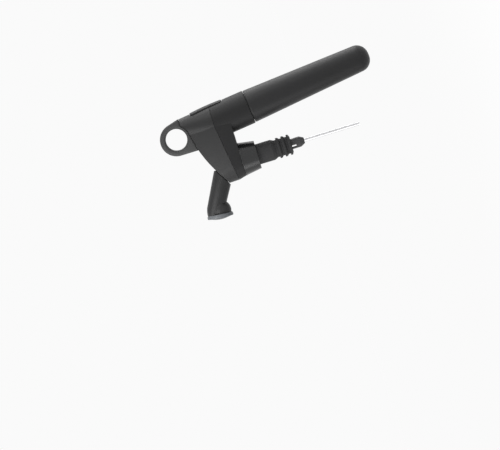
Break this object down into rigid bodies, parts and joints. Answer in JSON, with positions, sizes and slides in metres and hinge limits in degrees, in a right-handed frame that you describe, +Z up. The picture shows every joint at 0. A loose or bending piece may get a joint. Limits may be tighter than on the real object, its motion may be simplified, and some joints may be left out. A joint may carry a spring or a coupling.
{
  "type": "wine preservation dispenser",
  "caption": "One-hand wine preserver: argon capsule handle screwed to a tap head with thumb trigger, finger ring, ported probe, bottle stopper and slanted spout with a spray aerator.",
  "frame": {"origin": "centre of the bottle's mouth, on the stopper's axis, at the underside of the stopper's collar", "axes": "+Z up the bottle's axis and out of it; +X from that axis to the handle; the spout points to -X and up; the device is the same on both sides of the XZ plane"},
  "size_m": [0.115, 0.0314, 0.2033],
  "materials": {
    "stopper_shell": "satin black moulding",
    "stopper_rubber": "matt rubber",
    "seal_rubber": "smooth silicone",
    "handle_coat": "soft-touch anthracite coat on aluminium",
    "thread_metal": "turned, black anodised",
    "capsule_steel": "plated steel",
    "probe_steel": "polished stainless steel",
    "valve_brass": "turned",
    "base_shell": "fine moulded anthracite",
    "head_shell": "fine moulded anthracite",
    "ring_shell": "fine moulded anthracite",
    "trigger_shell": "fine moulded anthracite",
    "inner_plastic": "moulded food-safe plastic",
    "aerator_shell": "fine moulded anthracite",
    "rim_plastic": "blue-grey moulding"
  },
  "bodies": {
    "stopper": {"stopper_collar": "stopper_shell", "stopper_plug": "stopper_rubber", "stopper_valve": "seal_rubber"},
    "seal": {"stopper_seal": "seal_rubber"},
    "housing": {"base_housing": "base_shell", "head_shell": "head_shell", "finger_ring": "ring_shell", "trigger_pin": "probe_steel", "wine_manifold": "inner_plastic", "manifold_screws": "probe_steel", "probe_seal": "seal_rubber", "probe_sleeve": "inner_plastic", "gas_tube": "probe_steel", "threaded_collar": "thread_metal", "capsule_gasket": "seal_rubber", "piercing_pin": "probe_steel", "regulator_body": "thread_metal", "valve_seal": "seal_rubber", "valve_spring": "probe_steel", "spout_tube": "inner_plastic", "spout_seal": "seal_rubber"},
    "capsule": {"argon_capsule": "capsule_steel"},
    "handle": {"handle_cup": "handle_coat", "handle_thread_sleeve": "thread_metal", "capsule_pad": "seal_rubber"},
    "trigger": {"trigger_button": "trigger_shell"},
    "valve": {"valve_stem": "valve_brass"},
    "aerator": {"aerator_body": "aerator_shell", "aerator_rim": "rim_plastic", "aerator_face": "rim_plastic", "aerator_screen": "probe_steel"}
  },
  "joints": [
    {"name": "device_swivel", "type": "hinge", "parent": "stopper", "child": "seal", "pos_m": [0, 0, 0.0095], "axis": [0, 0, 1], "continuous": true},
    {"name": "device_lift", "type": "slide", "parent": "seal", "child": "housing", "axis": [0, 0, 1], "range_m": [0, 0.115]},
    {"name": "capsule_feed", "type": "slide", "parent": "housing", "child": "capsule", "axis": [0.1184, 0, -0.993], "range_m": [0, 0.0121]},
    {"name": "handle_turn", "type": "hinge", "parent": "capsule", "child": "handle", "pos_m": [0.0436, 0, -0.0052], "axis": [0.1184, 0, -0.993], "range_deg": [0, 1440]},
    {"name": "trigger_press", "type": "hinge", "parent": "housing", "child": "trigger", "pos_m": [0.04846, 0, 0.04271], "axis": [0, 1, 0], "range_deg": [0, 4]},
    {"name": "valve_push", "type": "slide", "parent": "housing", "child": "valve", "axis": [-0.993, 0, -0.1184], "range_m": [0, 0.00125], "stiffness_N_per_m": 3000, "deforming": ["valve_spring"]},
    {"name": "aerator_pull", "type": "slide", "parent": "housing", "child": "aerator", "axis": [-0.8746, 0, 0.4848], "range_m": [0, 0.02]}
  ],
  "couplings": [
    {"joint": "capsule_feed", "follows": "handle_turn", "m_per_rad": 0.00047746},
    {"joint": "trigger_press", "follows": "valve_push", "rad_per_m": 47.619}
  ]
}
